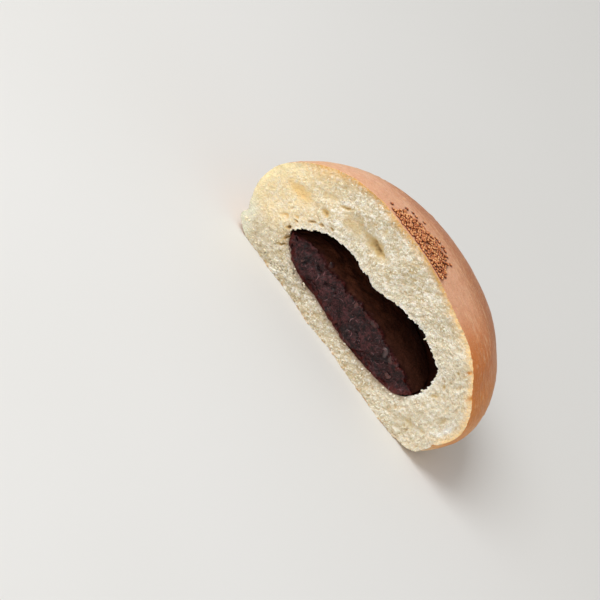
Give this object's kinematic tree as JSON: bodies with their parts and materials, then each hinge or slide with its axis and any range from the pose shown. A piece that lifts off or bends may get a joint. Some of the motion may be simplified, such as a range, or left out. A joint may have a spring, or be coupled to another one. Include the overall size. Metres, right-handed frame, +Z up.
{
  "type": "half of a bean paste bun",
  "caption": "Half of a round baked anpan bun, cut upright, with crumb, sweet bean paste, the hollow over it, and poppy seeds on top.",
  "frame": {"origin": "under the middle of the half, at the level of its flat base", "axes": "+X along the cut face, +Y from the cut face into the half, +Z up; the cut face looks along -Y"},
  "size_m": [0.0962, 0.048, 0.044],
  "materials": {
    "bread": "soft baked crust with a low shine over a torn cream crumb, with tan poppy seeds",
    "bean_paste": "moist dark bean paste with bits of bean skin"
  },
  "bodies": {
    "root": {"bread": "bread", "bean_paste": "bean_paste"}
  },
  "joints": []
}
